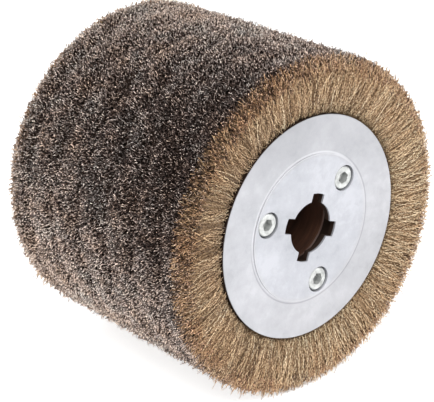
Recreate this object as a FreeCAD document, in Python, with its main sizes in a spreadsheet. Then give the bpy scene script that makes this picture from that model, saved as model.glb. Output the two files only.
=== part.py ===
import FreeCAD, Part
import functools
import os

import Sketcher

# A drum brush for a hand-held burnishing machine: seven rings of crimped wire stand side by side on a
# moulded core, between two zinc-coated end plates that three long socket-head bolts pull together.
# The drum lies on its side: its axis is +Y, the bolt heads face -Y, +Z is up, and the origin is the
# middle of the drum on its axis. All sizes are millimetres and degrees.

# Driving dimensions: alias, value, what it is.
DIMENSIONS = [
    ("drum_diameter", 120, "over the wire tips"),
    ("drum_width", 100, "over the wire, end to end"),
    ("tip_shoulder", 6.5, "radius where an end of the drum turns into its side"),
    ("face_to_face", 95, "between the outer faces of the two plate rims"),
    ("plate_diameter", 82, "end plate, outside"),
    ("rim_thickness", 2, "end plate, outside its hub"),
    ("rim_round", 0.5, "rounding of the plate's outer edge"),
    ("boss_diameter", 54, "raised middle of the end plate"),
    ("boss_height", 0.5, "how far the middle stands above the rim"),
    ("hub_diameter", 57.6, "thick part behind the rim, and the core"),
    ("hub_thickness", 7, "boss face to the core's end"),
    ("web_thickness", 2.5, "plate around the keyed bore"),
    ("bore_diameter", 19, "round part of the keyed bore"),
    ("key_width", 5.6, "one of the four keyways"),
    ("key_span", 25, "across two opposite keyways"),
    ("core_bore", 28, "bore of the core and of the hub behind the web"),
    ("bolt_circle", 43, "pitch circle of the three tie bolts"),
    ("bolt_diameter", 5, "M5 shank"),
    ("bolt_length", 90, "under the head"),
    ("bolt_hole", 5.5, "clearance hole"),
    ("head_diameter", 8.5, "socket head"),
    ("head_height", 5, "socket head"),
    ("socket_flats", 4, "hexagon socket, across flats"),
    ("socket_depth", 2.6, "hexagon socket"),
    ("seat_diameter", 9.5, "counterbore for a bolt head"),
    ("seat_depth", 5.4, "of a bolt head's or nut's seat, from the boss face"),
    ("nut_flats", 8, "M5 nut, across flats"),
    ("nut_height", 4, "M5 nut"),
    ("pocket_flats", 8.3, "hexagon pocket that keeps a nut from turning"),
    ("channel_inside", 58, "inner diameter of a wire ring's channel"),
    ("channel_outside", 73, "outer diameter of a wire ring's channel"),
    ("channel_wall", 0.8, "sheet thickness of the channel"),
    ("hoop_diameter", 64.4, "mean diameter of the hoop that the wires fold over"),
    ("hoop_wire", 2.4, "thickness of that hoop"),
    ("fill_root", 67.2, "where the wire fill starts, just outside the hoop"),
    ("fill_gap", 0.05, "clearance round each wire fill"),
    ("flare_diameter", 96, "where a wire ring has opened to its full width"),
    ("plate_clear", 82.8, "where the end wires come out beside the plate"),
    ("chamfer", 0.4, "small chamfer on turned edges"),
    ("clock_angle", 20, "how far the brush has rolled from a keyway straight up"),
]
WIRE_RINGS = 7
TIE_BOLTS = 3
KEYWAYS = 4
FRONT, REAR = -1, 1
SPARE_CELL = "E1"
TOUCH = 1e-4  # points and planes nearer than this are the same
ARC_BOW = "(1 - sqrt(0.5))"  # how far a quarter round's middle lies inside its corner, for a radius of 1
HEX_REACH = "(1 / sqrt(3))"  # from a hexagon's middle to its corner, for 1 across flats
NUT_FACE = "tan(30)"  # how far a nut's corners are turned off, for each millimetre outwards

doc = FreeCAD.newDocument("drum_brush")
sheet = doc.addObject("Spreadsheet::Sheet", "dims")
for row, (alias, value, note) in enumerate(DIMENSIONS, start=1):
    sheet.set(f"A{row}", alias)
    sheet.set(f"B{row}", str(value))
    sheet.set(f"C{row}", note)
    sheet.setAlias(f"B{row}", alias)
doc.recompute()


def formula(text):
    """An expression as an object reads it: <alias> becomes the sheet's cell."""
    return text.replace("<", "dims.").replace(">", "")


@functools.cache
def number(text):
    """An expression's value, from a spare cell, for drawing geometry before it is constrained."""
    sheet.set(SPARE_CELL, "=" + text.replace("<", "").replace(">", ""))
    sheet.recompute()
    return float(sheet.get(SPARE_CELL))


def new_body(label):
    """A body whose features are drawn about its own +Y axis."""
    body = doc.addObject("PartDesign::Body", label)
    body.Label = label
    return body


def new_sketch(body, name, plane, offset=None):
    """A sketch on one of the body's origin planes, moved along its normal by an expression."""
    sketch = body.newObject("Sketcher::SketchObject", name)
    role = next(f for f in body.Origin.OriginFeatures if f.Role == plane)
    sketch.AttachmentSupport = [(role, "")]
    sketch.MapMode = "FlatFace"
    if offset is not None:
        sketch.setExpression("AttachmentOffset.Base.z", formula(offset))
    return sketch


def hold_point(sketch, geometry, end, x, y):
    """Fixes one point of a sketch by two expressions, counted from the sketch's origin."""
    for kind, text in (("DistanceX", x), ("DistanceY", y)):
        index = sketch.addConstraint(Sketcher.Constraint(kind, -1, 1, geometry, end, number(text)))
        sketch.setExpression(f"Constraints[{index}]", formula(text))


def draw_outline(sketch, points, arcs=None):
    """A closed outline through the points. arcs gives an arc's middle and radius by its side's number."""
    arcs = arcs or {}
    place = [FreeCAD.Vector(number(x), number(y), 0) for x, y in points]
    for i, start in enumerate(place):
        end = place[(i + 1) % len(place)]
        if i in arcs:
            middle, radius = arcs[i]
            through = FreeCAD.Vector(number(middle[0]), number(middle[1]), 0)
            sketch.addGeometry(Part.ArcOfCircle(start, through, end), False)
        else:
            sketch.addGeometry(Part.LineSegment(start, end), False)
    corner = []  # which end of each side is its start and its finish, as an arc always runs anticlockwise
    for i, start in enumerate(place):
        first = sketch.Geometry[i].StartPoint.distanceToPoint(start) < TOUCH
        corner.append((1, 2) if first else (2, 1))
    for i in range(len(place)):
        after = (i + 1) % len(place)
        sketch.addConstraint(Sketcher.Constraint("Coincident", i, corner[i][1], after, corner[after][0]))
    for i, (x, y) in enumerate(points):
        hold_point(sketch, i, corner[i][0], x, y)
    for i, (_, radius) in arcs.items():
        index = sketch.addConstraint(Sketcher.Constraint("Radius", i, number(radius)))
        sketch.setExpression(f"Constraints[{index}]", formula(radius))


def draw_circle(sketch, x, y, diameter):
    """A circle held by its centre and diameter."""
    centre = FreeCAD.Vector(number(x), number(y), 0)
    circle = Part.Circle(centre, FreeCAD.Vector(0, 0, 1), number(diameter) / 2)
    geometry = sketch.addGeometry(circle, False)
    hold_point(sketch, geometry, 3, x, y)
    index = sketch.addConstraint(Sketcher.Constraint("Diameter", geometry, number(diameter)))
    sketch.setExpression(f"Constraints[{index}]", formula(diameter))


def draw_hexagon(sketch, x, y, flats):
    """A regular hexagon with two of its flats facing the sketch's left and right."""
    half, reach = f"{flats} / 2", f"{flats} * {HEX_REACH}"
    corners = [
        (f"{x} + {half}", f"{y} - {reach} / 2"),
        (f"{x} + {half}", f"{y} + {reach} / 2"),
        (f"{x}", f"{y} + {reach}"),
        (f"{x} - {half}", f"{y} + {reach} / 2"),
        (f"{x} - {half}", f"{y} - {reach} / 2"),
        (f"{x}", f"{y} - {reach}"),
    ]
    draw_outline(sketch, corners)


def revolve(body, points, arcs=None, kind="Revolution", name="profile"):
    """Turns an outline of (radius, place along the axis) points about the body's +Y axis."""
    sketch = new_sketch(body, name, "XY_Plane")
    draw_outline(sketch, points, arcs)
    feature = body.newObject(f"PartDesign::{kind}", f"{name}_{kind.lower()}")
    feature.Profile = sketch
    feature.ReferenceAxis = (sketch, ["V_Axis"])
    feature.Angle = 360
    doc.recompute()
    return feature


def cut_through(body, sketch, name):
    """Cuts a sketch on the XZ plane right through the body, both ways."""
    pocket = body.newObject("PartDesign::Pocket", name)
    pocket.Profile = sketch
    pocket.Type = "ThroughAll"
    pocket.Midplane = True
    doc.recompute()
    return pocket


def cut_down(body, sketch, name, depth, towards):
    """Cuts a sketch on the XZ plane to a depth, towards the drum's middle from its front or rear."""
    pocket = body.newObject("PartDesign::Pocket", name)
    pocket.Profile = sketch
    pocket.Type = "Length"
    pocket.setExpression("Length", formula(depth))
    pocket.Reversed = towards == REAR
    doc.recompute()
    return pocket


def repeat_round(body, features, count, name):
    """Copies features round the drum's axis."""
    pattern = body.newObject("PartDesign::PolarPattern", name)
    pattern.Originals = features
    axis = next(f for f in body.Origin.OriginFeatures if f.Role == "Y_Axis")
    pattern.Axis = (axis, [""])
    pattern.Angle = 360
    pattern.Occurrences = count
    body.Tip = pattern
    doc.recompute()
    return pattern


def break_edges(body, name, face, reach):
    """Chamfers the edges that lie in the plane Y = face and within a radius of the axis."""
    base = body.Tip
    chosen = []
    for i, edge in enumerate(base.Shape.Edges, start=1):
        box = edge.BoundBox
        flat = abs(box.YMin - face) < TOUCH and abs(box.YMax - face) < TOUCH
        if flat and max(abs(v) for v in (box.XMin, box.XMax, box.ZMin, box.ZMax)) < reach - TOUCH:
            chosen.append(f"Edge{i}")
    chamfer = body.newObject("PartDesign::Chamfer", name)
    chamfer.Base = (base, chosen)
    chamfer.setExpression("Size", formula("<chamfer>"))
    body.Tip = chamfer
    doc.recompute()
    return chamfer


def roll(body):
    """Turns a body about the drum's axis to where the brush has come to lie."""
    body.Placement = FreeCAD.Placement(FreeCAD.Vector(), FreeCAD.Rotation(FreeCAD.Vector(0, 1, 0), 1))
    body.setExpression("Placement.Rotation.Angle", formula("<clock_angle>"))


def end_plate(label, side):
    """Zinc-coated plate: thin rim, raised middle, hub behind it, keyed bore and seats for the tie bolts."""
    body = new_body(label)
    rim, back = "<face_to_face> / 2", "<face_to_face> / 2 - <rim_thickness>"
    boss = "<face_to_face> / 2 + <boss_height>"
    outline = [
        ("0", f"{boss} - <web_thickness>"),
        ("0", boss),
        ("<boss_diameter> / 2", boss),
        ("<boss_diameter> / 2", rim),
        ("<plate_diameter> / 2 - <rim_round>", rim),
        ("<plate_diameter> / 2", f"{rim} - <rim_round>"),
        ("<plate_diameter> / 2", back),
        ("<hub_diameter> / 2", back),
        ("<hub_diameter> / 2", f"{boss} - <hub_thickness>"),
        ("<core_bore> / 2", f"{boss} - <hub_thickness>"),
        ("<core_bore> / 2", f"{boss} - <web_thickness>"),
    ]
    outline = [(r, f"{side} * ({y})") for r, y in outline]
    bow = f"<rim_round> * {ARC_BOW}"
    middle = (f"<plate_diameter> / 2 - {bow}", f"{side} * ({rim} - {bow})")
    revolve(body, outline, {4: (middle, "<rim_round>")})

    bore = new_sketch(body, "bore", "XZ_Plane")
    draw_circle(bore, "0", "0", "<bore_diameter>")
    cut_through(body, bore, "bore_cut")

    # one keyway, its floor an arc about the drum's axis
    wide, deep = "<key_width> / 2", "sqrt(<key_span> ^ 2 / 4 - <key_width> ^ 2 / 4)"
    keyway = new_sketch(body, "keyway", "XZ_Plane")
    corners = [(f"0 - {wide}", "0"), (wide, "0"), (wide, deep), (f"0 - {wide}", deep)]
    draw_outline(keyway, corners, {2: (("0", "<key_span> / 2"), "<key_span> / 2")})
    repeat_round(body, [cut_through(body, keyway, "keyway_cut")], KEYWAYS, "keyways")

    # a tie bolt's hole, with a round seat for its head in front or a hexagon pocket for its nut behind
    out = "0 - <bolt_circle> / 2"  # one bolt stands in line with a keyway, along -X
    hole = new_sketch(body, "bolt_hole", "XZ_Plane")
    draw_circle(hole, out, "0", "<bolt_hole>")
    hole_cut = cut_through(body, hole, "bolt_hole_cut")
    # the XZ plane's normal is -Y, so the front face lies at a positive offset
    seat = new_sketch(body, "seat", "XZ_Plane", f"{-side} * ({boss})")
    if side == FRONT:
        draw_circle(seat, out, "0", "<seat_diameter>")
    else:
        draw_hexagon(seat, out, "0", "<pocket_flats>")
    seat_cut = cut_down(body, seat, "seat_cut", "<seat_depth>", side)
    repeat_round(body, [hole_cut, seat_cut], TIE_BOLTS, "bolt_seats")
    break_edges(body, "edges", side * number(boss), number("<boss_diameter> / 2"))
    roll(body)
    return body


def core():
    """Moulded tube between the plates' hubs, with a hole for each tie bolt."""
    body = new_body("core_tube")
    ring = new_sketch(body, "ring", "XZ_Plane")
    draw_circle(ring, "0", "0", "<hub_diameter>")
    draw_circle(ring, "0", "0", "<core_bore>")
    pad = body.newObject("PartDesign::Pad", "tube")
    pad.Profile = ring
    pad.Midplane = True
    pad.setExpression("Length", formula("<face_to_face> + 2 * <boss_height> - 2 * <hub_thickness>"))
    doc.recompute()
    hole = new_sketch(body, "bolt_hole", "XZ_Plane")
    draw_circle(hole, "0 - <bolt_circle> / 2", "0", "<bolt_hole>")
    repeat_round(body, [cut_through(body, hole, "bolt_hole_cut")], TIE_BOLTS, "bolt_holes")
    roll(body)
    return body


def stand_on_bolt_circle(body, index):
    """Moves a body from the drum's axis to the bolt circle, its -X side facing outwards."""
    turn = f"<clock_angle> + {360 / TIE_BOLTS * index}"
    body.Placement = FreeCAD.Placement(FreeCAD.Vector(), FreeCAD.Rotation(FreeCAD.Vector(0, 1, 0), 1))
    body.setExpression("Placement.Rotation.Angle", formula(turn))
    body.setExpression("Placement.Base.x", formula(f"0 - <bolt_circle> / 2 * cos({turn})"))
    body.setExpression("Placement.Base.z", formula(f"<bolt_circle> / 2 * sin({turn})"))


def tie_bolt(index):
    """Long socket-head bolt, drawn about its own axis."""
    body = new_body(f"tie_bolt_{index + 1}")
    seat = "0 - <face_to_face> / 2 - <boss_height> + <seat_depth>"
    top, tip = f"({seat} - <head_height>)", f"({seat} + <bolt_length>)"
    outline = [
        ("0", top),
        ("<head_diameter> / 2 - <chamfer>", top),
        ("<head_diameter> / 2", f"{top} + <chamfer>"),
        ("<head_diameter> / 2", seat),
        ("<bolt_diameter> / 2", seat),
        ("<bolt_diameter> / 2", f"{tip} - <chamfer>"),
        ("<bolt_diameter> / 2 - <chamfer>", tip),
        ("0", tip),
    ]
    revolve(body, outline)
    socket = new_sketch(body, "socket", "XZ_Plane", f"0 - {top}")
    draw_hexagon(socket, "0", "0", "<socket_flats>")
    cut_down(body, socket, "socket_cut", "<socket_depth>", FRONT)
    stand_on_bolt_circle(body, index)
    return body


def tie_nut(index):
    """Hexagon nut with its outer corners turned off, drawn about its own axis."""
    body = new_body(f"tie_nut_{index + 1}")
    seat = "(<face_to_face> / 2 + <boss_height> - <seat_depth>)"
    face = new_sketch(body, "hexagon", "XZ_Plane", f"0 - {seat}")
    draw_hexagon(face, "0", "0", "<nut_flats>")
    draw_circle(face, "0", "0", "<bolt_diameter>")
    pad = body.newObject("PartDesign::Pad", "nut")
    pad.Profile = face
    pad.Reversed = True  # away from the drum's middle
    pad.setExpression("Length", formula("<nut_height>"))
    doc.recompute()
    outer = f"({seat} + <nut_height>)"
    corner = [
        ("<nut_flats> / 2", f"{outer}"),
        ("<nut_flats> / 2 + 1", f"{outer}"),
        ("<nut_flats> / 2 + 1", f"{outer} - {NUT_FACE}"),
    ]
    revolve(body, corner, kind="Groove", name="corner")
    stand_on_bolt_circle(body, index)
    return body


def ring_place(body, index):
    """Moves a ring's body to its place along the drum."""
    pitch = f"(<face_to_face> - 2 * <rim_thickness>) / {WIRE_RINGS}"
    body.setExpression("Placement.Base.y", formula(f"{index - WIRE_RINGS // 2} * {pitch}"))


def channel_ring(index):
    """Rolled steel channel, open outwards, that holds the wires' roots."""
    body = new_body(f"channel_ring_{index + 1}")
    half = f"(<face_to_face> - 2 * <rim_thickness>) / {2 * WIRE_RINGS}"
    inside, outside = "<channel_inside> / 2", "<channel_outside> / 2"
    outline = [
        (inside, f"0 - {half}"),
        (outside, f"0 - {half}"),
        (outside, f"<channel_wall> - {half}"),
        (f"{inside} + <channel_wall>", f"<channel_wall> - {half}"),
        (f"{inside} + <channel_wall>", f"{half} - <channel_wall>"),
        (outside, f"{half} - <channel_wall>"),
        (outside, half),
        (inside, half),
    ]
    revolve(body, outline)
    ring_place(body, index)
    return body


def retaining_hoop(index):
    """Round steel hoop in the bottom of the channel: every wire is folded over it."""
    body = new_body(f"retaining_hoop_{index + 1}")
    sketch = new_sketch(body, "section", "XY_Plane")
    draw_circle(sketch, "<hoop_diameter> / 2", "0", "<hoop_wire>")
    hoop = body.newObject("PartDesign::Revolution", "hoop")
    hoop.Profile = sketch
    hoop.ReferenceAxis = (sketch, ["V_Axis"])
    hoop.Angle = 360
    doc.recompute()
    ring_place(body, index)
    return body


def wire_section(index):
    """The outer shape of one ring's crimped wires, from the channel to the tips."""
    body = new_body(f"wire_section_{index + 1}")
    root, mouth = "<fill_root> / 2", "<channel_outside> / 2"
    gap = "<fill_gap>"
    ring_pitch = f"(<face_to_face> - 2 * <rim_thickness>) / {WIRE_RINGS}"
    tip_pitch = f"<drum_width> / {WIRE_RINGS}"
    place = index - WIRE_RINGS // 2
    arcs = {}

    def flank(side):
        """One side's points, root to tip, with side -1 facing the front."""
        held = f"{place} * {ring_pitch} + {side} * ({ring_pitch} / 2 - <channel_wall> - {gap})"
        free = f"{place} * {ring_pitch} + {side} * ({ring_pitch} / 2 - {gap})"
        tip = f"({place} + {side} * 0.5) * {tip_pitch} - {side} * {gap}"
        points = [(root, held), (f"{mouth} + {gap}", held), (f"{mouth} + {gap}", free)]
        if index == (0 if side == FRONT else WIRE_RINGS - 1):
            end, tips = f"{side} * <drum_width> / 2", "<drum_diameter> / 2"
            points += [
                ("<plate_clear> / 2", free),
                ("<flare_diameter> / 2", end),
                (f"{tips} - <tip_shoulder>", end),
                (tips, f"{end} - {side} * <tip_shoulder>"),
            ]
            return points, True
        points += [("<flare_diameter> / 2", tip), ("<drum_diameter> / 2", tip)]
        return points, False

    front, front_end = flank(FRONT)
    rear, rear_end = flank(REAR)
    bow, end, tips = f"<tip_shoulder> * {ARC_BOW}", "<drum_width> / 2", "<drum_diameter> / 2"
    if front_end:
        arcs[len(front) - 2] = ((f"{tips} - {bow}", f"{bow} - {end}"), "<tip_shoulder>")
    if rear_end:
        arcs[len(front)] = ((f"{tips} - {bow}", f"{end} - {bow}"), "<tip_shoulder>")
    revolve(body, front + rear[::-1], arcs)
    return body


parts = [end_plate("front_end_plate", FRONT), end_plate("rear_end_plate", REAR), core()]
for bolt in range(TIE_BOLTS):
    parts += [tie_bolt(bolt), tie_nut(bolt)]
for ring in range(WIRE_RINGS):
    parts += [channel_ring(ring), retaining_hoop(ring), wire_section(ring)]
doc.recompute()

failed = [o.Name for o in doc.Objects if {"Invalid", "Error"} & set(o.State)]
if failed:
    raise SystemExit(f"these objects failed: {failed}")
os.makedirs("parts", exist_ok=True)
for part in parts:
    shape = part.Shape
    if shape.isNull() or not shape.isValid() or not shape.Solids:
        raise SystemExit(f"{part.Label} has no valid solid")
    low, high = shape.BoundBox.YMin, shape.BoundBox.YMax
    print(f"{part.Label}: {shape.Volume / 1000:.2f} cm3, Y {low:.2f} to {high:.2f}")
    shape.exportStep(os.path.join("parts", f"{part.Label}.step"))
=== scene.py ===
import math
import bpy
import bmesh
import numpy as np
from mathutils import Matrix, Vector


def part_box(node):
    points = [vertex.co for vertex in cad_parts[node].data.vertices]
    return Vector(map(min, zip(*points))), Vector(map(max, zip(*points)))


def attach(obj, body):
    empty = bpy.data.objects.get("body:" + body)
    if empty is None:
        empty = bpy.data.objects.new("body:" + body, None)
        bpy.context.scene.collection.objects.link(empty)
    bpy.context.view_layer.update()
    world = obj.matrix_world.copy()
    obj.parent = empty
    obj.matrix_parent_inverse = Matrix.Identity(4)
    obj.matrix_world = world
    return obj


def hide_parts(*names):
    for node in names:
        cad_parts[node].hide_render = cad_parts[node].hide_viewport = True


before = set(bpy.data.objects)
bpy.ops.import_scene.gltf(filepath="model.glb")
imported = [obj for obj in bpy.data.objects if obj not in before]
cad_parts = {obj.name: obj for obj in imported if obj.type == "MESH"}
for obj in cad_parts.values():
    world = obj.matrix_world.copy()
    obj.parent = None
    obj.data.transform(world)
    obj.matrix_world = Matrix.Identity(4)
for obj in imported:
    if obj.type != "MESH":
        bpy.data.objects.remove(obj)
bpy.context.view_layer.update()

mm = 0.001
front, rear = -1, 1      # which end of the drum, along Y
turn = 2 * math.pi
white = (1, 1, 1, 1)
alongDrum = np.array([0, 1, 0])
softAngle = math.radians(35)      # edges flatter than this are shaded smooth


class Signal:
    # a socket that can be used in sums
    def __init__(self, finish, socket):
        self.finish = finish
        self.socket = socket

    def maths(self, operation, *values):
        return self.finish.add("ShaderNodeMath", {"operation": operation}, dict(enumerate(values)))

    def __add__(self, other):
        return self.maths("ADD", self, other)

    def __radd__(self, other):
        return self.maths("ADD", other, self)

    def __sub__(self, other):
        return self.maths("SUBTRACT", self, other)

    def __rsub__(self, other):
        return self.maths("SUBTRACT", other, self)

    def __mul__(self, other):
        return self.maths("MULTIPLY", self, other)

    def __rmul__(self, other):
        return self.maths("MULTIPLY", other, self)

    def __abs__(self):
        return self.maths("ABSOLUTE", self)


class Finish:
    # a material under construction
    def __init__(self, name):
        self.material = bpy.data.materials.new(name)
        self.material.use_nodes = True
        self.nodes = self.material.node_tree.nodes
        self.links = self.material.node_tree.links
        self.shader = self.nodes["Principled BSDF"]

    def add(self, kind, settings=None, inputs=None, output=0):
        node = self.nodes.new(kind)
        for key, value in (settings or {}).items():
            if key == "stops":
                self.setStops(node.color_ramp, value)
            else:
                setattr(node, key, value)
        for key, value in (inputs or {}).items():
            self.feed(node.inputs[key], value)
        return Signal(self, node.outputs[output])

    def feed(self, socket, value):
        if isinstance(value, Signal):
            self.links.new(value.socket, socket)
        else:
            socket.default_value = value

    def setStops(self, ramp, stops):
        while len(ramp.elements) < len(stops):
            ramp.elements.new(0.5)
        for element, (place, colour) in zip(ramp.elements, stops):
            element.position = place
            element.color = (*colour, 1)

    def ramp(self, value, stops):
        return self.add("ShaderNodeValToRGB", {"stops": stops}, {"Fac": value})

    def noise(self, vector, scale, detail, roughness):
        return self.add("ShaderNodeTexNoise", {}, {
            "Vector": vector, "Scale": scale, "Detail": detail, "Roughness": roughness})

    def mix(self, amount, a, b, blend="MIX"):
        # sockets 0, 6 and 7 are the factor and the two colours
        return self.add("ShaderNodeMix", {"data_type": "RGBA", "blend_type": blend},
                        {0: amount, 6: a, 7: b}, 2)

    def multiply(self, a, b):
        return self.mix(1.0, a, b, "MULTIPLY")

    def smooth(self, value, low, high):
        # rises from 0 at low to 1 at high
        return self.add("ShaderNodeMapRange", {"interpolation_type": "SMOOTHSTEP"}, {
            "Value": value, "From Min": low, "From Max": high})

    def near(self, value, full, gone):
        # 1 where the value is within full of nought, fading to 0 at gone
        return 1 - self.smooth(abs(value), full, gone)

    def place(self):
        return self.add("ShaderNodeTexCoord", {}, {}, "Object")

    def parts(self, vector):
        split = self.add("ShaderNodeSeparateXYZ", {}, {0: vector})
        return [Signal(self, socket) for socket in split.socket.node.outputs]

    def vector(self, operation, *values):
        return self.add("ShaderNodeVectorMath", {"operation": operation}, dict(enumerate(values)))

    def length(self, vector):
        return self.add("ShaderNodeVectorMath", {"operation": "LENGTH"}, {0: vector}, "Value")

    def set(self, **values):
        names = {"colour": "Base Color", "roughness": "Roughness", "metallic": "Metallic",
                 "specular": "Specular IOR Level"}
        for key, value in values.items():
            self.feed(self.shader.inputs[names[key]], value)
        return self

    def bump(self, height, strength, distance):
        normal = self.add("ShaderNodeBump", {}, {
            "Height": height, "Strength": strength, "Distance": distance})
        self.feed(self.shader.inputs["Normal"], normal)
        return self


camera = {"azimuth": -44.6, "elevation": 24.9, "distance": 0.8645, "lens": 205.96, "sensor": 36,
          "nearest": 0.05, "farthest": 20, "turnLeft": 2.159, "turnUp": 0.618}


def addCamera():
    # looks at the middle of the front face, then turns a little to the left and up
    azimuth = math.radians(camera["azimuth"])
    elevation = math.radians(camera["elevation"])
    back = Vector((math.sin(azimuth) * math.cos(elevation),
                   -math.cos(azimuth) * math.cos(elevation), math.sin(elevation)))
    faceMiddle = Vector((0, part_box("front_end_plate")[0][1], 0))
    data = bpy.data.cameras.new("camera")
    data.lens = camera["lens"]
    data.sensor_width = camera["sensor"]
    data.clip_start = camera["nearest"]
    data.clip_end = camera["farthest"]
    holder = bpy.data.objects.new("camera", data)
    bpy.context.collection.objects.link(holder)
    aim = (-back).to_track_quat("-Z", "Y")
    sight = Vector((-math.tan(math.radians(camera["turnLeft"])),
                    math.tan(math.radians(camera["turnUp"])), -1))
    holder.rotation_euler = (aim @ Vector((0, 0, -1)).rotation_difference(sight)).to_euler()
    holder.location = faceMiddle + back * camera["distance"]
    bpy.context.scene.camera = holder


addCamera()

lights = {
    "key": {"place": (-0.55, -0.75, 1.15), "size": 0.9, "power": 16},
    "right": {"place": (0.9, -1.0, 0.9), "size": 0.9, "power": 13},
    "left": {"place": (-1.1, 0.3, 0.3), "size": 0.8, "power": 9.5},
}
lightAllRound = 0.78      # strength of the white surroundings


def addLights():
    for name, light in lights.items():
        data = bpy.data.lights.new(name, "AREA")
        data.size = light["size"]
        data.energy = light["power"]
        lamp = bpy.data.objects.new(name, data)
        lamp.location = light["place"]
        lamp.rotation_euler = (-Vector(light["place"])).to_track_quat("-Z", "Y").to_euler()
        bpy.context.collection.objects.link(lamp)
    world = bpy.data.worlds.new("studio")
    world.use_nodes = True
    background = world.node_tree.nodes["Background"]
    background.inputs["Color"].default_value = white
    background.inputs["Strength"].default_value = lightAllRound
    bpy.context.scene.world = world
    bpy.context.scene.view_settings.view_transform = "Standard"


addLights()
print("camera and lights")


def deselectAll():
    if bpy.context.object and bpy.context.object.mode == "EDIT":
        bpy.ops.object.mode_set(mode="OBJECT")
    bpy.ops.object.select_all(action="DESELECT")


def named(name):
    piece = bpy.context.object
    piece.name = name
    piece.data.name = name
    return piece


def makeActive(piece):
    deselectAll()
    piece.select_set(True)
    bpy.context.view_layer.objects.active = piece


def selectFaces(piece, wanted):
    # leaves the piece in edit mode with only the wanted faces selected
    makeActive(piece)
    bpy.ops.object.mode_set(mode="EDIT")
    bpy.ops.mesh.select_mode(type="FACE")
    bpy.ops.mesh.select_all(action="DESELECT")
    mesh = bmesh.from_edit_mesh(piece.data)
    for face in mesh.faces:
        face.select_set(bool(wanted(face.calc_center_median(), face.normal)))
    bmesh.update_edit_mesh(piece.data)


def settle(piece):
    # puts the piece's place in its mesh
    makeActive(piece)
    bpy.ops.object.transform_apply(location=True, rotation=True, scale=True)
    return piece


def wear(piece, material):
    piece.data.materials.clear()
    piece.data.materials.append(material)


def finishPiece(piece, material, slot, *nodes):
    wear(piece, material)
    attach(piece, "root")
    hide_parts(*nodes)


crimpedWire = {"steps": 60, "pitch": 2.7 * mm, "perWave": 2, "depth": 0.17 * mm, "sides": 3}


def modelCrimpedWire():
    # a small triangle drawn out step by step, to one side and back, as crimping rollers leave a wire
    deselectAll()
    bpy.ops.mesh.primitive_circle_add(vertices=crimpedWire["sides"], radius=1, fill_type="NGON")
    wire = named("crimpedWire")
    selectFaces(wire, lambda middle, normal: True)
    step = crimpedWire["pitch"] / crimpedWire["perWave"]
    last = 1
    for i in range(1, crimpedWire["steps"] + 1):
        wave = math.cos(turn * i / crimpedWire["perWave"])
        move = (crimpedWire["depth"] * (wave - last), 0, step)
        bpy.ops.mesh.extrude_region_move(TRANSFORM_OT_translate={"value": move})
        last = wave
    bpy.ops.mesh.select_all(action="SELECT")
    bpy.ops.mesh.normals_make_consistent(inside=False)
    bpy.ops.object.mode_set(mode="OBJECT")
    return wire


def ringsOf(wire):
    # the wire's rings in order: how far each ring's middle stands to the side, and its corners round that
    points = np.empty(len(wire.data.vertices) * 3)
    wire.data.vertices.foreach_get("co", points)
    points = points.reshape(-1, 3)
    step = crimpedWire["pitch"] / crimpedWire["perWave"]
    ring = np.rint(points[:, 2] / step).astype(int)
    middles = np.array([points[ring == i, :2].mean(0) for i in range(crimpedWire["steps"] + 1)])
    corners = points[:, :2] - middles[ring]
    order = np.lexsort((np.arctan2(corners[:, 1], corners[:, 0]), ring))
    return middles, corners[order].reshape(len(middles), -1, 2)


def layWires(wire, thickness, steps, roots, tips, bows, rng):
    # every copy is a stretch cut from the crimped wire at random,
    # laid from its root to its tip along its own bow
    middles, corners = wire
    count = len(roots)
    cut = rng.integers(0, len(middles) - steps, count)[:, None] + np.arange(steps + 1)
    across = middles[cut][:, :, None, :] + corners[cut] * thickness / 2
    along = np.linspace(0, 1, steps + 1)
    chord = tips - roots
    axis = chord / np.linalg.norm(chord, axis=1, keepdims=True)
    side = np.cross(axis, rng.normal(size=(count, 3)))
    side /= np.linalg.norm(side, axis=1, keepdims=True)
    other = np.cross(axis, side)
    line = (roots[:, None] + chord[:, None] * along[None, :, None]
            + bows[:, None] * (4 * along * (1 - along))[None, :, None])
    points = (line[:, :, None] + across[..., :1] * side[:, None, None]
              + across[..., 1:] * other[:, None, None])
    return points.reshape(-1, 3)


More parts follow.
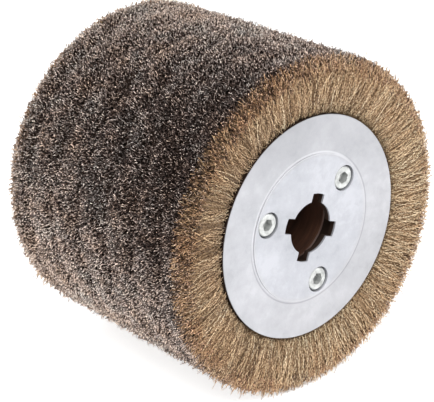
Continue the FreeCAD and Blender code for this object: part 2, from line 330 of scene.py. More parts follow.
def plantWires(name, wire, thickness, batches, rng):
    # one mesh of many wires; a batch's wires all have the same number of steps;
    # wireMap colours them, and a second map like it, OFBake, is made as well
    sides = wire[1].shape[1]
    points, loops, sizes, places = [], [], [], []
    corner = np.arange(sides)
    after = (corner + 1) % sides
    used = 0
    for steps, roots, tips, bows, tints in batches:
        count = len(roots)
        ring = np.arange(steps)[:, None] * sides
        walls = np.stack([ring + corner, ring + after, ring + after + sides, ring + corner + sides], -1)
        faces = np.concatenate([walls.reshape(-1), corner[::-1], corner + steps * sides])
        each = (steps + 1) * sides
        points.append(layWires(wire, thickness, steps, roots, tips, bows, rng))
        loops.append((used + np.arange(count)[:, None] * each + faces).reshape(-1))
        sizes.append(np.tile([4] * (steps * sides) + [sides] * 2, count))
        # across the map is each wire's own tint, and up the map is the way from root to tip
        up = np.repeat(np.linspace(0, 1, steps + 1), sides)[faces]
        places.append(np.stack([np.repeat(tints, len(faces)), np.tile(up, count)], -1))
        used += count * each
    points, loops, sizes, places = (np.concatenate(part) for part in (points, loops, sizes, places))
    starts = np.cumsum(sizes) - sizes

    mesh = bpy.data.meshes.new(name)
    mesh.vertices.add(len(points))
    mesh.vertices.foreach_set("co", points.astype(np.float32).reshape(-1))
    mesh.loops.add(len(loops))
    mesh.loops.foreach_set("vertex_index", loops.astype(np.int32))
    mesh.polygons.add(len(starts))
    mesh.polygons.foreach_set("loop_start", starts.astype(np.int32))
    mesh.update(calc_edges=True)
    mesh.polygons.foreach_set("use_smooth", sizes == 4)
    for layer in ("wireMap", "OFBake"):
        mesh.uv_layers.new(name=layer).uv.foreach_set("vector", places.astype(np.float32).reshape(-1))
    piece = bpy.data.objects.new(name, mesh)
    bpy.context.collection.objects.link(piece)
    return piece


def onDrum(radius, along, angle):
    # a point at a radius and an angle from straight up, turning towards +X
    return np.stack([radius * np.sin(angle), along * np.ones_like(angle), radius * np.cos(angle)], -1)


def roundTangent(angle):
    return np.stack([np.cos(angle), np.zeros_like(angle), -np.sin(angle)], -1)


def ripples(pattern, angle, along, variant=0):
    # smooth unevenness over the drum: waves that close up round it, about -1 to 1
    rng = np.random.default_rng(pattern["seed"] + variant)
    total = np.zeros_like(angle)
    for _ in range(pattern["waves"]):
        around = rng.integers(pattern["turns"][0], pattern["turns"][1] + 1)
        across = rng.choice([-1, 1]) * turn / rng.uniform(*pattern["lengths"])
        total += np.sin(around * angle + across * along + rng.uniform(0, turn))
    return total / math.sqrt(pattern["waves"])


# a pattern is the scale, detail and roughness of a noise; a colour list runs from low to high
faceLook = {
    "tints": [(0.0, (0.17, 0.105, 0.062)), (0.3, (0.47, 0.325, 0.195)), (0.6, (0.71, 0.52, 0.335)),
              (0.85, (0.85, 0.675, 0.455)), (1.0, (0.90, 0.755, 0.55))],
    # along darkens each face wire towards its root: painted shade between the wires
    "along": [(0.0, (0.75, 0.74, 0.70)), (0.3, (1, 1, 1)), (0.85, (1, 0.98, 0.95)),
              (1.0, (0.74, 0.63, 0.54))],
    "glintNoise": (1700, 1, 0.5), "glintEdge": (0.38, 0.56), "dull": (0.27, 0.20, 0.15, 1),
    "clouds": (95, 3, 0.6), "hues": [(0.35, (1, 0.95, 0.90)), (0.65, (0.98, 1, 1))],
    "endTint": white, "endFill": 0, "roughness": 0.42, "metallic": 0.5}
sideLook = {
    "tints": [(0.0, (0.045, 0.029, 0.025)), (0.35, (0.17, 0.127, 0.112)), (0.6, (0.60, 0.53, 0.495)),
              (1.0, (1.0, 0.875, 0.77))],
    # along paints each side wire nearly black towards its root: painted shade deep between the wires
    "along": [(0.0, (0.004, 0.002, 0.002)), (0.45, (0.06, 0.04, 0.03)), (0.8, (0.8, 0.77, 0.75)),
              (1.0, (1, 1, 1))],
    "glintNoise": (1850, 1, 0.5), "glintEdge": (0.44, 0.58), "dull": (0.11, 0.08, 0.07, 1),
    "clouds": (95, 3, 0.6),
    "hues": [(0.33, (1, 0.89, 0.80)), (0.5, (1, 0.96, 0.94)), (0.67, (0.92, 0.98, 1))],
    "endTint": (1, 0.80, 0.62, 1), "endFill": 0.75, "roughness": 0.3, "metallic": 0.75}
# more brass is left at the front end than at the rear: where it starts and is full, along the drum
brass = {"front": (41 * mm, 48 * mm), "rear": (45 * mm, 50 * mm), "rearShare": 0.35}


def wireFinish(name, look):
    # tints run across the map, from one wire to the next, and along goes up it from root to tip, darkening
    # each wire towards its root as painted shade between the wires;
    # glints are painted highlights: small bright spots on every wire, with dull spots between them
    finish = Finish(name)
    across, up, _ = finish.parts(finish.add("ShaderNodeUVMap", {"uv_map": "wireMap"}))
    place = finish.place()
    beside = finish.parts(place)[1]
    atEnd = finish.smooth(abs(beside), *brass["front"])
    # painted shade towards each wire's root, taken off near the ends as far as endFill says
    depth = finish.mix(atEnd * look["endFill"], finish.ramp(up, look["along"]), white)
    colour = finish.multiply(finish.ramp(across, look["tints"]), depth)
    # painted highlights: bright glints along each wire, dull between them
    bright = finish.smooth(finish.noise(place, *look["glintNoise"]), *look["glintEdge"])
    colour = finish.multiply(colour, finish.mix(bright, look["dull"], white))
    hue = finish.ramp(finish.noise(place, *look["clouds"]), look["hues"])
    colour = finish.multiply(colour, hue)
    brassLeft = (finish.smooth(0 - beside, *brass["front"])
                 + finish.smooth(beside, *brass["rear"]) * brass["rearShare"])
    colour = finish.mix(brassLeft, colour, finish.multiply(colour, look["endTint"]))
    finish.set(colour=colour, roughness=look["roughness"], metallic=look["metallic"])
    return finish.material


faceWireFinish = wireFinish("brassedWire", faceLook)
sideWireFinish = wireFinish("wornWireTips", sideLook)

bedLook = {
    "shadows": (900, 2, 0.6), "dark": [(0.35, (0.006, 0.004, 0.003)), (0.7, (0.022, 0.014, 0.010))],
    "strands": (120, 4, 0.7), "brassy": [(0.36, (0.07, 0.043, 0.025)), (0.62, (0.32, 0.215, 0.125))],
    "brassyFrom": (42 * mm, 45 * mm), "roughness": 0.85, "specular": 0.05, "relief": (0.5, 0.4 * mm)}


def bedFinish():
    # packed wire seen between the tips: painted nearly black on the drum's side as the shade deep between the
    # wires, brassy strands next to the plates
    finish = Finish("packedWire")
    place = finish.place()
    dark = finish.ramp(finish.noise(place, *bedLook["shadows"]), bedLook["dark"])
    outward = finish.vector("NORMALIZE", finish.vector("MULTIPLY", place, (1, 0, 1)))
    strands = finish.noise(outward, *bedLook["strands"])
    along = finish.parts(place)[1]
    nearPlate = finish.smooth(abs(along), *bedLook["brassyFrom"])
    colour = finish.mix(nearPlate, dark, finish.ramp(strands, bedLook["brassy"]))
    finish.set(colour=colour, roughness=bedLook["roughness"], specular=bedLook["specular"])
    return finish.bump(strands, *bedLook["relief"]).material


packedWireFinish = bedFinish()

sections = {
    "count": 7, "radius": 60 * mm, "width": 100 * mm, "root": 36.6 * mm,
    "overhang": 0.1 * mm,                  # how far the tips stand past the radius
    "taper": 0.032,                        # how fast the radius grows towards the front
    "shoulders": (6.5 * mm, 9 * mm),       # the front end's rounding and the rear end's
    "rearSpread": 1.0 * mm,                # how much further the rear end reaches
    "dip": 1.3 * mm, "bedDepth": 1.5 * mm}
halfWidth = sections["width"] / 2

sideWires = {
    "spacing": 0.61 * mm, "thickness": 0.27 * mm, "length": 2.5 * mm, "ends": (-48.8 * mm, 49.8 * mm),
    "hooked": 0.4,                         # share of the wires that have a bend halfway
    "crests": {"seed": 50, "waves": 8, "turns": (3, 17), "lengths": (50 * mm, 200 * mm)},
    "clumps": {"seed": 60, "waves": 24, "turns": (40, 150), "lengths": (3 * mm, 9 * mm)},
    "patches": {"seed": 63, "waves": 14, "turns": (4, 30), "lengths": (10 * mm, 60 * mm)},
    "crestWander": 0.09, "clumpHeight": 0.05 * mm, "scatter": 0.24 * mm,
    "strays": 1.8 * mm, "rarity": 11,      # how far a few tips stand out, and how few
    "straysAtEnds": 0.4 * mm, "straysFrom": 38 * mm, "straysOver": 10 * mm,
    "lean": 0.40, "fan": 0.25, "bend": 0.3, "kink": 0.06 * mm}
sideTint = {
    # paintedLight is painted light on the tips by their angle round the drum, least at darkestAt; valleyShade
    # is painted shade in the valleys
    "base": 0.425, "spread": 0.30, "patches": 0.05, "valleyShade": 0.05,
    "paintedLight": 0.9, "mostPaintedLight": 0.49, "darkestAt": -0.9,       # by the angle from straight up
    "towardsRear": 0.21, "ends": 0.36, "endsFrom": 44 * mm, "endsOver": 5 * mm}

faceWires = {
    "thickness": 0.23 * mm,
    "rows": [(1600, 15, 41.3 * mm), (750, 9, 49 * mm)],       # count in half an end, steps, root radius
    "tips": 50.2 * mm, "depth": 6.5 * mm, "outermost": 49.4 * mm,
    "outside": 1.3,                                           # above 1 lays more of them on the outside
    "sag": 0.5 * mm, "sagAt": 2.6, "scatter": 0.85 * mm, "strays": 2.2 * mm, "rarity": 8,
    "clumps": {"seed": 31, "waves": 26, "turns": (14, 110), "lengths": (1, 2)},
    "rootSpread": 1.5 * mm, "roots": 47.4 * mm, "rootDepth": 3.0 * mm, "rootSlope": 0.1,
    "reach": 61 * mm, "whole": 20 * mm, "clumpLean": 0.22 * mm, "lean": 3.8 * mm,
    "swell": 0.9 * mm, "swellSpread": 0.35 * mm, "bow": 1.5 * mm}
# paintedLight lightens the face wires towards brightestAt: painted light on one side of each end
faceTint = {"base": 0.60, "spread": 0.28, "clumps": 0.03, "paintedLight": 0.20, "brightestAt": 2.0}

rng = np.random.default_rng(11)
wire = ringsOf(modelCrimpedWire())
bpy.data.objects.remove(bpy.data.objects["crimpedWire"])
print("one crimped wire")


def tipRadius(along):
    # the drum is a little wider at its front end, its ends are rounded, and the rear end spreads out further
    behind = along > 0
    shoulder = np.where(behind, sections["shoulders"][1], sections["shoulders"][0])
    half = halfWidth + np.where(behind, sections["rearSpread"], 0)
    over = np.clip(np.abs(along) - half + shoulder, 0, shoulder)
    crown = sections["radius"] + sections["overhang"] - along * sections["taper"]
    return crown - shoulder + np.sqrt(shoulder ** 2 - over ** 2)


def sectionCells():
    # how many wires stand side by side across a section and round it
    return (round(sections["width"] / sections["count"] / sideWires["spacing"]),
            round(turn * sections["radius"] / sideWires["spacing"]))


def spreadSideWires(i, cells):
    # the wires of one section that end on the drum's side, one somewhere in each of the cells
    width = sections["width"] / sections["count"]
    columns, rows = sectionCells()
    count = len(cells)
    angle = (cells // columns + rng.uniform(0, 1, count)) / rows * turn
    across = (cells % columns + rng.uniform(0, 1, count)) / columns - 0.5
    along = (i - sections["count"] // 2 + across) * width
    along = np.where(along > 0, along * (1 + sections["rearSpread"] / halfWidth), along)
    along = np.clip(along, *sideWires["ends"])
    crest = sideWires["crestWander"] * ripples(sideWires["crests"], angle, along, i)
    fall = np.abs(across - crest) * 2
    clump = ripples(sideWires["clumps"], angle, along)
    patch = ripples(sideWires["patches"], angle, along)
    atEnds = np.clip((np.abs(along) - sideWires["straysFrom"]) / sideWires["straysOver"], 0, 1)
    strays = sideWires["strays"] + sideWires["straysAtEnds"] * atEnds
    radius = (tipRadius(along) - sections["dip"] * fall ** 2 + sideWires["clumpHeight"] * clump
              + rng.normal(0, sideWires["scatter"], count)
              + strays * rng.uniform(0, 1, count) ** sideWires["rarity"])
    tips = onDrum(radius, along, angle)
    outward = onDrum(1, 0 * angle, angle)
    lean = rng.normal(0, sideWires["lean"], count)
    leanAlong = sideWires["fan"] * (across - crest) + rng.normal(0, sideWires["lean"], count)
    tilt = roundTangent(angle) * lean[:, None] + alongDrum * leanAlong[:, None]
    # a hooked wire's lower half stands straighter than its upper half
    roots = tips - (outward + tilt) * sideWires["length"]
    kink = rng.normal(0, sideWires["kink"], (count, 3))
    bows = -sideWires["bend"] * tilt * sideWires["length"] + kink
    # painted light brightens the tips by their angle round the drum and painted shade darkens the valleys
    # between the crests; the tips are also lighter towards the rear and at the two ends
    paintedLight = sideTint["paintedLight"] * (1 - np.cos(angle - sideTint["darkestAt"]))
    pastBend = (np.abs(along) - sideTint["endsFrom"]) / sideTint["endsOver"]
    paintedLightShadeAndEnds = (np.clip(paintedLight, 0, sideTint["mostPaintedLight"]) + sideTint["towardsRear"] * along / halfWidth
            - sideTint["valleyShade"] * fall ** 2 + sideTint["ends"] * np.clip(pastBend, 0, 1))
    tints = (sideTint["base"] + paintedLightShadeAndEnds + sideTint["patches"] * patch
             + rng.normal(0, sideTint["spread"], count))
    return roots, tips, bows, np.clip(tints, 0, 1)


def addSideWires():
    columns, rows = sectionCells()
    for i in range(sections["count"]):
        cells = rng.permutation(columns * rows)
        hooked = int(len(cells) * sideWires["hooked"])
        batches = [(2, *spreadSideWires(i, cells[:hooked])), (1, *spreadSideWires(i, cells[hooked:]))]
        piece = plantWires(f"side_wires_{i + 1}", wire, sideWires["thickness"], batches, rng)
        finishPiece(piece, sideWireFinish, "brassed_wire", f"wire_section_{i + 1}")


def addFaceWires(end):
    side = "front" if end == front else "rear"
    section = 1 if end == front else sections["count"]
    for half in range(2):
        batches = [spreadFaceWires(end, half, *row) for row in faceWires["rows"]]
        piece = plantWires(f"{side}_face_wires_{half + 1}", wire, faceWires["thickness"], batches, rng)
        finishPiece(piece, faceWireFinish, "brassed_wire", f"wire_section_{section}")


def spreadFaceWires(end, half, count, steps, inner):
    # wires over one half of an end; the inner ones spring from the edge of the plate
    angle = (np.arange(count) + rng.uniform(0, 1, count)) * turn / 2 / count + half * turn / 2
    depth = rng.uniform(0, 1, count) ** faceWires["outside"]       # 0 lies on the outside
    tipAlong = faceWires["tips"] - faceWires["depth"] * depth
    reach = (tipRadius(end * np.minimum(tipAlong, faceWires["outermost"]))
             + faceWires["sag"] * np.cos(angle - faceWires["sagAt"])
             + rng.normal(0, faceWires["scatter"], count)
             + faceWires["strays"] * rng.uniform(0, 1, count) ** faceWires["rarity"])
    clump = ripples(faceWires["clumps"], angle, 0 * angle, end)
    rootRadius = inner + rng.uniform(0, faceWires["rootSpread"], count)
    rootAlong = (faceWires["roots"] - faceWires["rootDepth"] * depth
                 - (inner - faceWires["rows"][0][2]) * faceWires["rootSlope"])
    share = (faceWires["reach"] - inner) / faceWires["whole"]     # of a whole wire's length
    leanRound = (faceWires["clumpLean"] * clump
                 + rng.normal(0, faceWires["lean"], count) * share)
    roots = onDrum(rootRadius, end * rootAlong, angle)
    tips = onDrum(reach, end * tipAlong, angle) + roundTangent(angle) * leanRound[:, None]
    swell = (faceWires["swell"] + rng.normal(0, faceWires["swellSpread"], count)) * share
    bowRound = rng.normal(0, faceWires["bow"], count)
    bows = (alongDrum * (end * swell)[:, None]
            + roundTangent(angle) * bowRound[:, None] * share)
    # painted light: lighter towards brightestAt round the end
    paintedLight = faceTint["paintedLight"] * np.cos(angle - faceTint["brightestAt"])
    tints = (rng.normal(faceTint["base"], faceTint["spread"], count)
             + faceTint["clumps"] * clump + paintedLight)
    return steps, roots, tips, bows, np.clip(tints, 0, 1)


addSideWires()
addFaceWires(front)
addFaceWires(rear)
print("wires planted")


def turned(name, outline, steps, ring=True):
    # an outline of (radius, place along Y) points, drawn point by point and spun about the drum's axis;
    # a ring's outline is closed first, and one that starts and ends on the axis needs no closing
    deselectAll()
    bpy.ops.mesh.primitive_plane_add(size=mm, location=(outline[0][0], outline[0][1], 0))
    piece = settle(named(name))
    bpy.ops.object.mode_set(mode="EDIT")
    bpy.ops.mesh.select_mode(type="VERT")
    bpy.ops.mesh.select_all(action="SELECT")
    bpy.ops.mesh.merge(type="CENTER")
    for start, end in zip(outline, outline[1:]):
        move = (end[0] - start[0], end[1] - start[1], 0)
        bpy.ops.mesh.extrude_vertices_move(TRANSFORM_OT_translate={"value": move})
    if ring:
        mesh = bmesh.from_edit_mesh(piece.data)
        mesh.verts.ensure_lookup_table()
        for vertex in mesh.verts:
            vertex.select_set(len(vertex.link_edges) == 1)
        bmesh.update_edit_mesh(piece.data)
        bpy.ops.mesh.edge_face_add()
    bpy.ops.mesh.select_all(action="SELECT")
    bpy.ops.mesh.spin(steps=steps, angle=turn, center=(0, 0, 0), axis=(0, 1, 0))
    bpy.ops.mesh.select_all(action="SELECT")
    bpy.ops.mesh.remove_doubles(threshold=0.001 * mm)
    bpy.ops.mesh.normals_make_consistent(inside=False)
    bpy.ops.object.mode_set(mode="OBJECT")
    return piece


def cutWith(piece, cutter):
    # takes the cutter's shape out of the piece
    makeActive(piece)
    cut = piece.modifiers.new("cut", "BOOLEAN")
    cut.operation = "DIFFERENCE"
    cut.solver = "EXACT"
    cut.object = cutter
    bpy.ops.object.modifier_apply(modifier="cut")
    bpy.data.objects.remove(cutter)


def roundEdges(piece, width, angle=30):
    # bevels the edges sharper than the angle
    makeActive(piece)
    edge = piece.modifiers.new("edges", "BEVEL")
    edge.width = width
    edge.segments = 2
    edge.limit_method = "ANGLE"
    edge.angle_limit = math.radians(angle)
    bpy.ops.object.modifier_apply(modifier="edges")
    bpy.ops.object.shade_smooth_by_angle(angle=softAngle)


def addRod(name, sides, radius, low, high, x=0, z=0, twist=0):
    # a straight rod along Y
    deselectAll()
    bpy.ops.mesh.primitive_cylinder_add(
        vertices=sides, radius=radius, depth=high - low, end_fill_type="NGON",
        location=(x, (low + high) / 2, z), rotation=(math.pi / 2, twist, 0))
    return settle(named(name))


# where the bed is dished next to a plate, and its edge measured inwards from the tips, as
# (radius or distance from the tips, place along the drum)
bed = {"dish": [(41.2 * mm, 45.2 * mm), (44.5 * mm, 46.9 * mm), (50 * mm, 47.9 * mm)],
       "edge": [(6 * mm, 48.0 * mm), (3 * mm, 46.4 * mm), (1.9 * mm, 43.4 * mm)],
       "tipsAt": 43 * mm, "points": 7, "facets": 128}


def endCrown(end):
    # from the plate outwards; the end wires lie over it
    tips = float(tipRadius(np.array(end * bed["tipsAt"])))
    dish = [(radius, end * along) for radius, along in bed["dish"]]
    return dish + [(tips - inwards, end * along) for inwards, along in bed["edge"]]


def addBed():
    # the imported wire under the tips, one ring for each section
    width = sections["width"] / sections["count"]
    halfway = bed["points"] // 2
    across = np.linspace(0, 1, bed["points"])
    dips = sections["dip"] * (across * 2 - 1) ** 2 + sections["bedDepth"]
    for i in range(sections["count"]):
        low = (i - sections["count"] // 2 - 0.5) * width
        crown = [(float(tipRadius(along)) - dip, float(along))
                 for along, dip in zip(low + width * across, dips)]
        if i == 0:
            crown = endCrown(front) + crown[halfway:]
        if i == sections["count"] - 1:
            crown = crown[:halfway + 1] + endCrown(rear)[::-1]
        outline = [(sections["root"], crown[0][1]), *crown, (sections["root"], crown[-1][1])]
        piece = turned(f"packed_wire_{i + 1}", outline, bed["facets"])
        bpy.ops.object.shade_smooth()
        finishPiece(piece, packedWireFinish, "brassed_wire", f"wire_section_{i + 1}")


addBed()
print("bed")

plate = {"radius": 41 * mm, "rim": 2 * mm, "round": 0.35 * mm, "boss": 27 * mm, "step": 0.5 * mm,
         "hub": 28.8 * mm, "hubDepth": 7 * mm, "web": 2.5 * mm, "hollow": 14 * mm, "bore": 9.5 * mm,
         "keyWidth": 5.6 * mm, "keySpan": 25 * mm, "clock": math.radians(20),
         "bevel": 0.22 * mm, "facets": 144, "keyFacets": 96}
bolts = {"count": 3, "circle": 21.5 * mm, "hole": 2.75 * mm, "holeFacets": 48,
         "seat": 4.75 * mm, "seatFacets": 64, "seatDepth": 5.4 * mm, "head": 4.25 * mm, "headHeight": 5 * mm,
         "headBevel": 0.45 * mm, "socket": 4 * mm, "socketDepth": 2.6 * mm, "shank": 2.5 * mm,
         "thread": 16 * mm, "pitch": 0.8 * mm, "groove": 0.42 * mm, "crest": 0.03 * mm,
         "point": 0.6 * mm, "bevel": 0.1 * mm, "facets": 60}
knurl = {"top": 0.6 * mm, "outer": 0.97, "half": 1.2 * mm, "margin": 0.04 * mm, "depth": 0.13 * mm}
nuts = {"across": 8 * mm, "pocket": 8.3 * mm, "height": 4 * mm, "slope": 0.55 * mm, "facets": 72,
        "clear": 0.2 * mm, "threadGap": 0.02 * mm, "bevel": 0.12 * mm}
throughAll = 60 * mm      # a cutter this long each way goes right through the drum

zinc = {
    "clouds": (52, 5, 0.66), "cells": 420, "specks": (1700, 2, 0.7),
    "cloudShare": 0.84, "cellShare": 0.05, "speckShare": 0.11,
    "tones": [(0.36, (0.317, 0.321, 0.338)), (0.45, (0.358, 0.362, 0.382)),
              (0.53, (0.386, 0.388, 0.410)), (0.62, (0.432, 0.434, 0.457))],
    "metallic": 0.65, "roughness": 0.36, "cloudRoughness": 0.22, "specular": 0.15,
    "relief": (0.12, 0.05 * mm), "middleTint": (0.975, 0.985, 1, 1), "middleEdge": 1.5 * mm}
topShadeAndSmudges = {
    "top": 0.40, "topFrom": 8 * mm, "smudges": (60, 3, 0.6), "smudgeEdge": (0.48, 0.66),
    "smudge": 0.22, "smudgeFrom": 31 * mm, "tint": (0.25, 0.252, 0.264, 1)}
# painted shadow and painted highlight are rings outside the step: how far out, how wide, how strong
stepShadowRing = {
    "out": 0.85 * mm, "width": (0.1 * mm, 0.55 * mm), "amount": 0.34, "tint": (0.07, 0.07, 0.08, 1),
    "right": 0.42, "down": 0.91, "edge": (-17 * mm, -4 * mm)}
stepHighlightRing = {
    "out": 0.3 * mm, "width": (0.3 * mm, 0.7 * mm), "amount": 0.33, "tint": (0.72, 0.72, 0.75, 1),
    "lostInShadow": 0.6}
oilAndRimShade = {
    "belowFace": (47.15 * mm, 47.55 * mm), "pastHollow": (0.5 * mm, 1.5 * mm),
    "fromRim": (0.25 * mm, 0.05 * mm), "tint": (0.022, 0.012, 0.008, 1),
    "lessMetallic": 0.6, "rougher": 0.3}


def zincFinish():
    # hot-dip zinc gone matt: pale, faintly clouded, with fine specks and smudges near the rim, and with
    # painted shade darkening it towards the top;
    # oil has darkened the inside of the bore, and painted shade darkens the rim's outer edge
    finish = Finish("zincCoating")
    place = finish.place()
    x, along, z = finish.parts(place)
    radius = finish.length(finish.vector("MULTIPLY", place, (1, 0, 1)))
    clouds = finish.noise(place, *zinc["clouds"])
    cells = finish.add("ShaderNodeTexVoronoi", {"feature": "F1"}, {
        "Vector": place, "Scale": zinc["cells"]}, 1)
    cellTone = finish.add("ShaderNodeSeparateColor", {}, {0: cells})
    specks = finish.noise(place, *zinc["specks"])
    tone = clouds * zinc["cloudShare"] + cellTone * zinc["cellShare"] + specks * zinc["speckShare"]
    colour = finish.ramp(tone, zinc["tones"])

    middle = 1 - finish.smooth(radius, plate["boss"] - zinc["middleEdge"], plate["boss"])
    colour = finish.mix(middle, colour, finish.multiply(colour, zinc["middleTint"]))
    # painted shade: the plate darkens towards the top, outside the middle; smudges darken it near the rim
    top = finish.smooth(z, topShadeAndSmudges["topFrom"], plate["radius"]) * (1 - middle)
    smudges = finish.smooth(finish.noise(place, *topShadeAndSmudges["smudges"]), *topShadeAndSmudges["smudgeEdge"])
    outer = finish.smooth(radius, topShadeAndSmudges["smudgeFrom"], plate["radius"])
    shadeAndSmudges = top * topShadeAndSmudges["top"] + smudges * outer * topShadeAndSmudges["smudge"]
    colour = finish.mix(shadeAndSmudges, colour, topShadeAndSmudges["tint"])

    # painted shadow lies outside the step from the right round to the lower left,
    # and a painted highlight lies on the rest of the step's foot
    fromWall = radius - plate["boss"]
    shadowSide = finish.smooth(x * stepShadowRing["right"] - z * stepShadowRing["down"], *stepShadowRing["edge"])
    stepShadow = finish.near(fromWall - stepShadowRing["out"], *stepShadowRing["width"]) * shadowSide
    colour = finish.mix(stepShadow * stepShadowRing["amount"], colour, stepShadowRing["tint"])
    stepHighlight = finish.near(fromWall - stepHighlightRing["out"], *stepHighlightRing["width"]) * (1 - shadowSide * stepHighlightRing["lostInShadow"])
    colour = finish.mix(stepHighlight * stepHighlightRing["amount"], colour, stepHighlightRing["tint"])

    # oil darkens the inside of the bore, and painted shade darkens the rim's outer edge
    below = finish.near(along, *oilAndRimShade["belowFace"])
    hollowEdge = [plate["hollow"] + past for past in oilAndRimShade["pastHollow"]]
    rimEdge = [plate["radius"] - inside for inside in oilAndRimShade["fromRim"]]
    oiledAndShaded = below * (1 - finish.smooth(radius, *hollowEdge) + finish.smooth(radius, *rimEdge))
    colour = finish.mix(oiledAndShaded, colour, oilAndRimShade["tint"])
    roughness = zinc["roughness"] + tone * zinc["cloudRoughness"] + oiledAndShaded * oilAndRimShade["rougher"]
    finish.set(colour=colour, metallic=zinc["metallic"] - oiledAndShaded * oilAndRimShade["lessMetallic"],
               roughness=roughness, specular=zinc["specular"])
    return finish.bump(specks * 0.5 + clouds * 0.5, *zinc["relief"]).material


zincCoating = zincFinish()


def keyCutter(twist):
    # a round bar the size of the keyways' floor, planed flat on two sides to their width
    bar = addRod("keyCutter", plate["keyFacets"], plate["keySpan"] / 2, -throughAll, throughAll)
    makeActive(bar)
    bpy.ops.object.mode_set(mode="EDIT")
    for side in (-1, 1):
        bpy.ops.mesh.select_all(action="SELECT")
        bpy.ops.mesh.bisect(plane_co=(side * plate["keyWidth"] / 2, 0, 0), plane_no=(side, 0, 0),
                            use_fill=True, clear_outer=True)
    bpy.ops.object.mode_set(mode="OBJECT")
    bar.rotation_euler = (0, twist, 0)
    return settle(bar)


def boltPlaces():
    # the angle of each bolt from straight up, and its place
    places = []
    for i in range(bolts["count"]):
        angle = plate["clock"] + turn * (i / bolts["count"] - 0.25)
        places.append((angle, bolts["circle"] * math.sin(angle), bolts["circle"] * math.cos(angle)))
    return places


def faceOf(node):
    # how far out the node reaches along the drum
    return max(abs(corner[1]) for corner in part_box(node))


def plateOutline(face):
    # one half of a plate's cut, from the raised middle outwards and back inside
    rim = face - plate["step"]
    bend = plate["round"]
    rounding = [(plate["radius"] - bend * (1 - math.sin(a)), rim - bend * (1 - math.cos(a)))
                for a in (0, math.pi / 6, math.pi / 3, math.pi / 2)]
    return [(plate["bore"], face), (plate["boss"], face), (plate["boss"], rim), *rounding,
            (plate["radius"], rim - plate["rim"]), (plate["hub"], rim - plate["rim"]),
            (plate["hub"], face - plate["hubDepth"]), (plate["hollow"], face - plate["hubDepth"]),
            (plate["hollow"], face - plate["web"]), (plate["bore"], face - plate["web"])]


def addPlate(end):
    side = "front" if end == front else "rear"
    node = f"{side}_end_plate"
    face = faceOf(node)
    outline = [(radius, end * along) for radius, along in plateOutline(face)]
    disc = turned(f"{side}_plate", outline, plate["facets"])
    for quarter in (0, math.pi / 2):
        cutWith(disc, keyCutter(plate["clock"] + quarter))
    seatFloor = end * (face - bolts["seatDepth"])
    outside = end * (face + 5 * mm)
    low, high = min(seatFloor, outside), max(seatFloor, outside)
    for angle, x, z in boltPlaces():
        hole = addRod("holeCutter", bolts["holeFacets"], bolts["hole"], -throughAll, throughAll, x, z)
        cutWith(disc, hole)
        if end == front:
            cutWith(disc, addRod("seatCutter", bolts["seatFacets"], bolts["seat"], low, high, x, z))
        else:
            corner = nuts["pocket"] / math.sqrt(3)
            cutWith(disc, addRod("pocketCutter", 6, corner, low, high, x, z, angle))
    roundEdges(disc, plate["bevel"])
    finishPiece(disc, zincCoating, "zinc_plate", node)


addPlate(front)
addPlate(rear)
print("end plates")

boltLook = {
    "stains": (420, 4, 0.6), "grain": (2600, 2, 0.5),
    "tones": [(0.35, (0.27, 0.275, 0.27)), (0.5, (0.40, 0.41, 0.40)), (0.65, (0.50, 0.51, 0.50))],
    "metallic": 0.6, "roughness": 0.30, "grainRoughness": 0.2, "relief": (0.15, 0.03 * mm)}


def boltFinish():
    finish = Finish("brightZincPlating")
    place = finish.place()
    colour = finish.ramp(finish.noise(place, *boltLook["stains"]), boltLook["tones"])
    grain = finish.noise(place, *boltLook["grain"])
    finish.set(colour=colour, metallic=boltLook["metallic"],
               roughness=boltLook["roughness"] + grain * boltLook["grainRoughness"])
    return finish.bump(grain, *boltLook["relief"]).material


brightZinc = boltFinish()


def boltOutline(top, seat, tail):
    # half of a bolt's cut: head, shank, and a ring of groove and crest for each turn of the thread
    head, shank = bolts["head"], bolts["shank"]
    threadStart = tail - bolts["thread"]
    outline = [(0, top), (head - bolts["headBevel"], top), (head, top + bolts["headBevel"]),
               (head, seat), (shank, seat), (shank, threadStart)]
    for i in range(int((tail - threadStart) / bolts["pitch"]) - 1):
        outline.append((shank - bolts["groove"], threadStart + bolts["pitch"] * (i + 0.5)))
        outline.append((shank - bolts["crest"], threadStart + bolts["pitch"] * (i + 1)))
    return outline + [(shank - bolts["point"], tail), (0, tail)]


def modelBolt():
    # at the front end of the drum's axis: knurled head with a hexagon socket, shank and thread
    seat = bolts["seatDepth"] - faceOf("front_end_plate")
    top = seat - bolts["headHeight"]
    tail = max(corner[1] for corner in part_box("tie_bolt_1"))
    facets = bolts["facets"]
    bolt = turned("bolt", boltOutline(top, seat, tail), facets, ring=False)
    middle = (top + knurl["top"] + seat) / 2
    # every second face round the head is pressed in a little
    selectFaces(bolt, lambda centre, normal: abs(centre.y - middle) < knurl["half"]
                and centre.xz.length > bolts["head"] * knurl["outer"]
                and round(math.atan2(centre.x, centre.z) / turn * facets - 0.5) % 2)
    bpy.ops.mesh.inset(thickness=knurl["margin"], use_individual=True)
    bpy.ops.mesh.extrude_region_shrink_fatten(TRANSFORM_OT_shrink_fatten={"value": -knurl["depth"]})
    bpy.ops.object.mode_set(mode="OBJECT")
    corner = bolts["socket"] / math.sqrt(3)
    cutWith(bolt, addRod("socketCutter", 6, corner, top - mm, top + bolts["socketDepth"]))
    roundEdges(bolt, bolts["bevel"], 40)
    return bolt


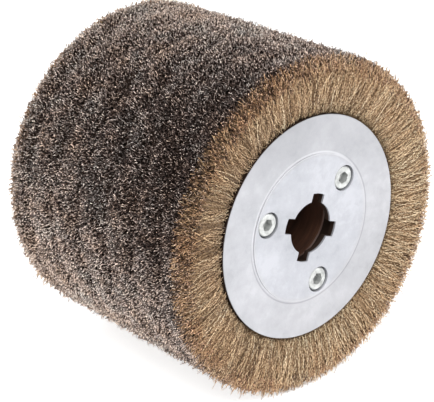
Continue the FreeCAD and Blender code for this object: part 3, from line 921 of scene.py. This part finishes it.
def modelNut():
    # a hexagon with its corners turned off at the outer end, and a hole the size of the thread
    seat = faceOf("rear_end_plate") - bolts["seatDepth"]
    top = seat + nuts["height"]
    nut = addRod("nut", 6, nuts["across"] / math.sqrt(3), seat, top)
    corner = nuts["across"] / math.sqrt(3) + nuts["clear"]
    above = top + nuts["clear"]
    below = top - nuts["slope"]
    outline = [(nuts["across"] / 2, above), (corner + mm, above), (corner + mm, below), (corner, below)]
    cutWith(nut, turned("turnedOff", outline, nuts["facets"]))
    thread = bolts["shank"] + nuts["threadGap"]
    cutWith(nut, addRod("threadCutter", bolts["facets"], thread, seat - mm, top + mm))
    roundEdges(nut, nuts["bevel"], 25)
    return nut


def copyToBolts(model, label, node, screwed=0):
    # screwed is how much further each one has been turned than the one before it
    for i, (angle, x, z) in enumerate(boltPlaces()):
        piece = model.copy()
        piece.data = model.data.copy()
        piece.name = f"{label}_{i + 1}"
        piece.data.name = piece.name
        bpy.context.collection.objects.link(piece)
        piece.rotation_euler = (0, angle + screwed * i, 0)
        piece.location = (x, 0, z)
        settle(piece)
        finishPiece(piece, brightZinc, "bolt_steel", f"{node}_{i + 1}")
    bpy.data.objects.remove(model)


copyToBolts(modelBolt(), "socket_bolt", "tie_bolt", 0.5)
copyToBolts(modelNut(), "hexagon_nut", "tie_nut")     # the pockets hold the nuts at one angle
print("bolts and nuts")

core = {"wall": 28.8 * mm, "bore": 14 * mm, "lead": 0.8 * mm, "facets": 96, "holeFacets": 32}
resin = {
    "flow": (90, 4, 0.6), "drawnOut": (1, 6, 1), "grit": (1400, 2, 0.5),
    "tones": [(0.3, (0.035, 0.014, 0.008)), (0.6, (0.085, 0.036, 0.020)), (0.8, (0.14, 0.062, 0.034))],
    "roughness": 0.42, "gritRoughness": 0.25, "relief": (0.25, 0.08 * mm)}
steel = {
    "stains": (120, 4, 0.6), "tones": [(0.3, (0.16, 0.13, 0.11)), (0.7, (0.42, 0.39, 0.36))],
    "metallic": 0.8, "roughness": 0.35, "stainRoughness": 0.3, "relief": (0.2, 0.1 * mm)}


def coreFinish():
    # moulded resin, dark reddish brown, with faint flow marks round the bore
    finish = Finish("mouldedResin")
    place = finish.place()
    drawnOut = finish.add("ShaderNodeMapping", {}, {"Vector": place, "Scale": resin["drawnOut"]})
    flow = finish.noise(drawnOut, *resin["flow"])
    grit = finish.noise(place, *resin["grit"])
    finish.set(colour=finish.ramp(flow, resin["tones"]),
               roughness=resin["roughness"] + grit * resin["gritRoughness"])
    return finish.bump(grit * 0.6 + flow * 0.4, *resin["relief"]).material


def channelFinish():
    # rolled steel with dark stains
    finish = Finish("rolledSteel")
    stain = finish.noise(finish.place(), *steel["stains"])
    finish.set(colour=finish.ramp(stain, steel["tones"]), metallic=steel["metallic"],
               roughness=steel["roughness"] + stain * steel["stainRoughness"])
    return finish.bump(stain, *steel["relief"]).material


def addCore():
    half = faceOf("core_tube")
    bore, lead = core["bore"], core["lead"]
    outline = [(bore + lead, -half), (core["wall"], -half), (core["wall"], half),
               (bore + lead, half), (bore, half - lead), (bore, lead - half)]
    tube = turned("core_sleeve", outline, core["facets"])
    for _, x, z in boltPlaces():
        hole = addRod("holeCutter", core["holeFacets"], bolts["hole"], -throughAll, throughAll, x, z)
        cutWith(tube, hole)
    bpy.ops.object.shade_smooth_by_angle(angle=softAngle)
    finishPiece(tube, coreFinish(), "core", "core_tube")


addCore()
rolledSteel = channelFinish()
for node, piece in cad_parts.items():
    if node.startswith(("channel_ring", "retaining_hoop")):
        wear(piece, rolledSteel)
print("core and channels")

# a light table: the floor glows a little, so that shadows stay soft
lightTable = {"size": 8, "height": -62 * mm, "grain": (30, 2, 0.5),
              "tones": [(0.3, (0.92, 0.92, 0.92)), (0.7, (0.94, 0.94, 0.94))],
              "roughness": 0.8, "glow": 0.55}


def addFloor():
    finish = Finish("studioFloor")
    deselectAll()
    bpy.ops.mesh.primitive_plane_add(size=lightTable["size"], location=(0, 0, lightTable["height"]))
    floor = named("studio_floor")
    grain = finish.noise(finish.place(), *lightTable["grain"])
    finish.set(colour=finish.ramp(grain, lightTable["tones"]), roughness=lightTable["roughness"])
    finish.shader.inputs["Emission Color"].default_value = white
    finish.shader.inputs["Emission Strength"].default_value = lightTable["glow"]
    wear(floor, finish.material)


addFloor()
print("floor")
